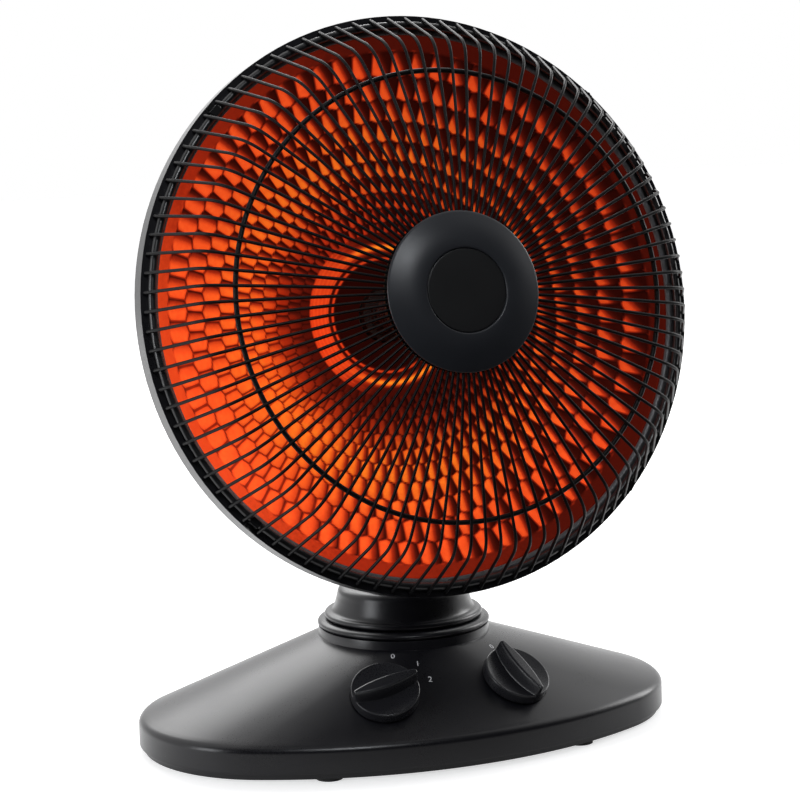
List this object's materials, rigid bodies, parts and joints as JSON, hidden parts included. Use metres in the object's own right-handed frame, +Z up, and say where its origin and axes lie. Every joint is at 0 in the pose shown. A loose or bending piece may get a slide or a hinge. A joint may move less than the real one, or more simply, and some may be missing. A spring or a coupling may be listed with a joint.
{
  "type": "parabolic dish heater",
  "caption": "Table-top parabolic heater: dished reflector and glowing element behind a wire guard, tilting on an oscillating neck over a low oval base with dials.",
  "frame": {"origin": "on the floor, under the middle of the whole heater's box; the swivel axis stands 6.38 mm behind it", "axes": "+Z up, -Y towards the front, +X to the right seen from the front"},
  "size_m": [0.35, 0.2327, 0.4435],
  "materials": {
    "black_plastic": "black moulded plastic, satin with a fine grain",
    "satin_plastic": "dark grey satin moulded plastic",
    "disc_plastic": "near-black smooth plastic",
    "grey_plastic": "grey engineering plastic",
    "rubber": "black rubber",
    "zinc_steel": "zinc plated steel",
    "brass": "turned brass",
    "ceramic": "unglazed steatite ceramic",
    "glowing_wire": "resistance wire glowing orange",
    "reflector_metal": "bright dimpled aluminium lit orange by the element",
    "guard_paint": "black powder coated steel wire"
  },
  "bodies": {
    "base": {"base_shell": "black_plastic", "bottom_plate": "zinc_steel", "base_screws": "zinc_steel", "rubber_feet": "rubber", "collar_ring": "black_plastic", "swivel_bush": "grey_plastic", "glide_washer": "grey_plastic", "heat_switch": "grey_plastic", "swing_switch": "grey_plastic", "switch_nuts": "zinc_steel", "motor": "zinc_steel", "motor_screws": "zinc_steel", "tip_switch": "grey_plastic", "terminal_block": "grey_plastic", "cord_inlet": "rubber"},
    "heat_dial": {"heat_knob": "satin_plastic", "heat_shaft": "brass"},
    "swing_dial": {"swing_knob": "satin_plastic", "swing_shaft": "brass"},
    "plunger": {"tip_plunger": "black_plastic"},
    "crank": {"crank": "zinc_steel"},
    "neck": {"neck_shell": "black_plastic", "spindle": "zinc_steel", "spindle_screws": "zinc_steel", "spindle_nut": "brass", "swivel_arm": "zinc_steel", "friction_washers": "zinc_steel", "tilt_bolt": "zinc_steel", "tilt_nut": "zinc_steel"},
    "head": {"stalk": "black_plastic", "stalk_screws": "zinc_steel", "rear_housing": "black_plastic", "rear_cover": "satin_plastic", "cover_screws": "zinc_steel", "reflector": "reflector_metal", "reflector_screws": "zinc_steel", "thermal_cutout": "zinc_steel", "element_socket": "ceramic", "socket_clip": "zinc_steel", "element_core": "ceramic", "element_coil": "glowing_wire", "guard_ring": "guard_paint", "support_ring": "guard_paint", "inner_ring": "guard_paint", "guard_wires": "guard_paint", "guard_legs": "guard_paint", "guard_clips": "guard_paint", "clip_screws": "guard_paint", "cap": "satin_plastic", "cap_disc": "disc_plastic", "cap_plate": "guard_paint", "cap_screw": "zinc_steel"}
  },
  "joints": [
    {"name": "swivel", "type": "hinge", "parent": "base", "child": "neck", "pos_m": [0, 0.00638, 0.066], "axis": [0, 0, 1], "range_deg": [-30, 30]},
    {"name": "tilt", "type": "hinge", "parent": "neck", "child": "head", "pos_m": [0, 0.00638, 0.0869], "axis": [-1, 0, 0], "range_deg": [-11.4, 8.6]},
    {"name": "heat_dial_turn", "type": "hinge", "parent": "base", "child": "heat_dial", "pos_m": [-0.042, -0.06662, 0.04192], "axis": [-0.1581, -0.5514, 0.8192], "range_deg": [-30, 30]},
    {"name": "swing_dial_turn", "type": "hinge", "parent": "base", "child": "swing_dial", "pos_m": [0.042, -0.06662, 0.04192], "axis": [0.1581, -0.5514, 0.8192], "range_deg": [-40, 0]},
    {"name": "plunger_slide", "type": "slide", "parent": "base", "child": "plunger", "axis": [0, 0, -1], "range_m": [0, 0.004], "stiffness_N_per_m": 60, "springref_m": 0.006},
    {"name": "crank_turn", "type": "hinge", "parent": "base", "child": "crank", "pos_m": [0, 0.05038, 0.029], "axis": [0, 0, 1], "range_deg": [-92, 92]}
  ],
  "couplings": [
    {"joint": "crank_turn", "follows": "swivel", "ratio": 3}
  ]
}
